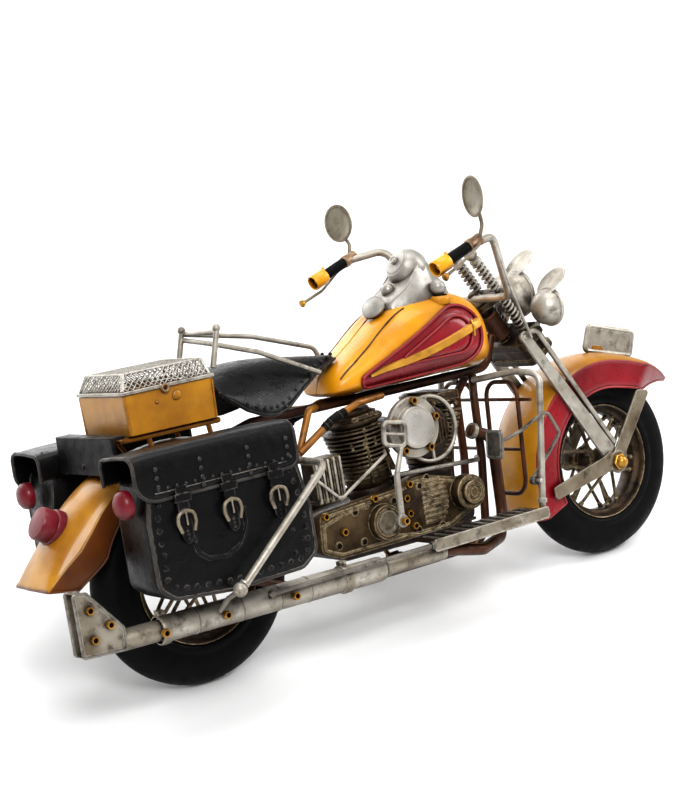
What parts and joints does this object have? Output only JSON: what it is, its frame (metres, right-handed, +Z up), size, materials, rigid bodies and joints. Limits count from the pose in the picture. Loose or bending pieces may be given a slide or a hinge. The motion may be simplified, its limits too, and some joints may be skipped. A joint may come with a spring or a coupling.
{
  "type": "model motorcycle",
  "caption": "Handmade tin model motorcycle, wind-up style, leaning on a side stand, with teardrop tank, saddlebags, luggage box and wire wheels.",
  "frame": {"origin": "centre of the bounding box in x and y, on the plane that the tyres and the stand foot rest on", "axes": "+X towards the front wheel, +Y towards the side stand, +Z up; the bike leans 15 degrees towards +Y"},
  "size_m": [0.4334, 0.1892, 0.2413],
  "materials": {
    "frame_tubes": "brown bronze paint",
    "rear_fender": "glossy amber yellow enamel, browned at the edges",
    "tail_lamps": "crimson lacquer",
    "bag_bridge": "satin black enamel",
    "rack": "brown washed gold paint",
    "luggage_box": "glossy amber yellow enamel, browned at the edges",
    "seat": "grained black, worn",
    "grab_rails": "hand painted silver with a brown wash",
    "saddlebag_left": "satin black enamel, worn to silver along the edges",
    "saddlebag_right": "satin black enamel, worn to silver along the edges",
    "bag_lids": "satin black enamel, worn to silver along the edges",
    "bag_straps": "satin black enamel",
    "guard_bars": "hand painted silver with a brown wash",
    "tank_left": "glossy amber yellow enamel, browned at the edges",
    "tank_right": "glossy amber yellow enamel, browned at the edges",
    "tank_panels": "glossy crimson enamel with a gold stripe",
    "console": "hand painted silver with a brown wash",
    "speedometer": "hand painted silver with a brown wash",
    "tank_caps": "hand painted silver with a brown wash",
    "crankcase": "dark bronze, dry brushed with silver",
    "front_cylinder": "dark bronze, dry brushed with silver",
    "rear_cylinder": "dark bronze, dry brushed with silver",
    "air_cleaner": "dark bronze, dry brushed with silver",
    "air_cleaner_cover": "hand painted silver with a brown wash",
    "gear_cover": "dark bronze, dry brushed with silver",
    "brass_nuts": "aged brass",
    "battery_box": "dark bronze, dry brushed with silver",
    "exhaust_pipe": "brown bronze paint",
    "muffler": "hand painted silver with a brown wash",
    "fishtail": "hand painted silver with a brown wash",
    "floorboards": "hand painted silver with a brown wash",
    "crash_bars": "hand painted silver with a brown wash",
    "primary_cover": "dark bronze, dry brushed with silver",
    "linkage_rods": "hand painted silver with a brown wash",
    "rear_axle": "aged brass",
    "side_stand": "hand painted silver with a brown wash",
    "kick_lever": "hand painted silver with a brown wash",
    "brake_pedal": "hand painted silver with a brown wash",
    "box_lid": "hand painted silver with a brown wash",
    "box_mesh": "hand painted silver with a brown wash",
    "steering_stem": "dark bronze, dry brushed with silver",
    "fork_legs": "hand painted silver with a brown wash",
    "fork_springs": "dark bronze, dry brushed with silver",
    "handlebar": "hand painted silver with a brown wash",
    "grips": "black rubber with yellow painted cups",
    "levers": "copper paint",
    "mirrors": "hand painted silver with a brown wash",
    "headlamp": "hand painted silver with a brown wash",
    "aux_lamps": "hand painted silver with a brown wash",
    "front_fender": "glossy amber yellow enamel, browned at the edges",
    "number_plate": "hand painted silver with a brown wash",
    "fender_stays": "hand painted silver with a brown wash",
    "front_axle": "aged brass",
    "front_tyre": "matte black rubber",
    "front_rim": "dark bronze paint",
    "front_spokes": "dark bronze paint",
    "rear_tyre": "matte black rubber",
    "rear_rim": "dark bronze paint",
    "rear_spokes": "dark bronze paint"
  },
  "bodies": {
    "chassis": {"frame_tubes": "frame_tubes", "rear_fender": "rear_fender", "tail_lamps": "tail_lamps", "bag_bridge": "bag_bridge", "rack": "rack", "luggage_box": "luggage_box", "seat": "seat", "grab_rails": "grab_rails", "saddlebag_left": "saddlebag_left", "saddlebag_right": "saddlebag_right", "bag_lids": "bag_lids", "bag_straps": "bag_straps", "guard_bars": "guard_bars", "tank_left": "tank_left", "tank_right": "tank_right", "tank_panels": "tank_panels", "console": "console", "speedometer": "speedometer", "tank_caps": "tank_caps", "crankcase": "crankcase", "front_cylinder": "front_cylinder", "rear_cylinder": "rear_cylinder", "air_cleaner": "air_cleaner", "air_cleaner_cover": "air_cleaner_cover", "gear_cover": "gear_cover", "brass_nuts": "brass_nuts", "battery_box": "battery_box", "exhaust_pipe": "exhaust_pipe", "muffler": "muffler", "fishtail": "fishtail", "floorboards": "floorboards", "crash_bars": "crash_bars", "primary_cover": "primary_cover", "linkage_rods": "linkage_rods", "rear_axle": "rear_axle"},
    "steering": {"steering_stem": "steering_stem", "fork_legs": "fork_legs", "fork_springs": "fork_springs", "handlebar": "handlebar", "grips": "grips", "levers": "levers", "mirrors": "mirrors", "headlamp": "headlamp", "aux_lamps": "aux_lamps", "front_fender": "front_fender", "number_plate": "number_plate", "fender_stays": "fender_stays", "front_axle": "front_axle"},
    "front_wheel": {"front_tyre": "front_tyre", "front_rim": "front_rim", "front_spokes": "front_spokes"},
    "rear_wheel": {"rear_tyre": "rear_tyre", "rear_rim": "rear_rim", "rear_spokes": "rear_spokes"},
    "stand": {"side_stand": "side_stand"},
    "kick": {"kick_lever": "kick_lever"},
    "brake": {"brake_pedal": "brake_pedal"},
    "lid": {"box_lid": "box_lid", "box_mesh": "box_mesh"}
  },
  "joints": [
    {"name": "steering", "type": "hinge", "parent": "chassis", "child": "steering", "pos_m": [0.10048, -0.00085, 0.12593], "axis": [-0.5446, 0.2171, 0.8101], "range_deg": [-22, 22]},
    {"name": "front_wheel_spin", "type": "hinge", "parent": "steering", "child": "front_wheel", "pos_m": [0.14848, -0.02026, 0.05348], "axis": [0, 0.9659, -0.2588], "continuous": true},
    {"name": "rear_wheel_spin", "type": "hinge", "parent": "chassis", "child": "rear_wheel", "pos_m": [-0.13152, -0.02026, 0.05348], "axis": [0, 0.9659, -0.2588], "continuous": true},
    {"name": "stand_fold", "type": "hinge", "parent": "chassis", "child": "stand", "pos_m": [0.00848, -0.00819, 0.02126], "axis": [0, 0.5736, 0.8192], "range_deg": [0, 75]},
    {"name": "kick_start", "type": "hinge", "parent": "chassis", "child": "kick", "pos_m": [-0.02202, -0.05432, 0.06779], "axis": [0, -0.9659, 0.2588], "range_deg": [0, 60]},
    {"name": "brake_press", "type": "hinge", "parent": "chassis", "child": "brake", "pos_m": [0.06798, -0.05757, 0.07073], "axis": [0, 0.9659, -0.2588], "range_deg": [0, 8]},
    {"name": "box_lid_hinge", "type": "hinge", "parent": "chassis", "child": "lid", "pos_m": [-0.13753, 0.0315, 0.14273], "axis": [-1, -0.002, -0.0076], "range_deg": [0, 100]}
  ]
}
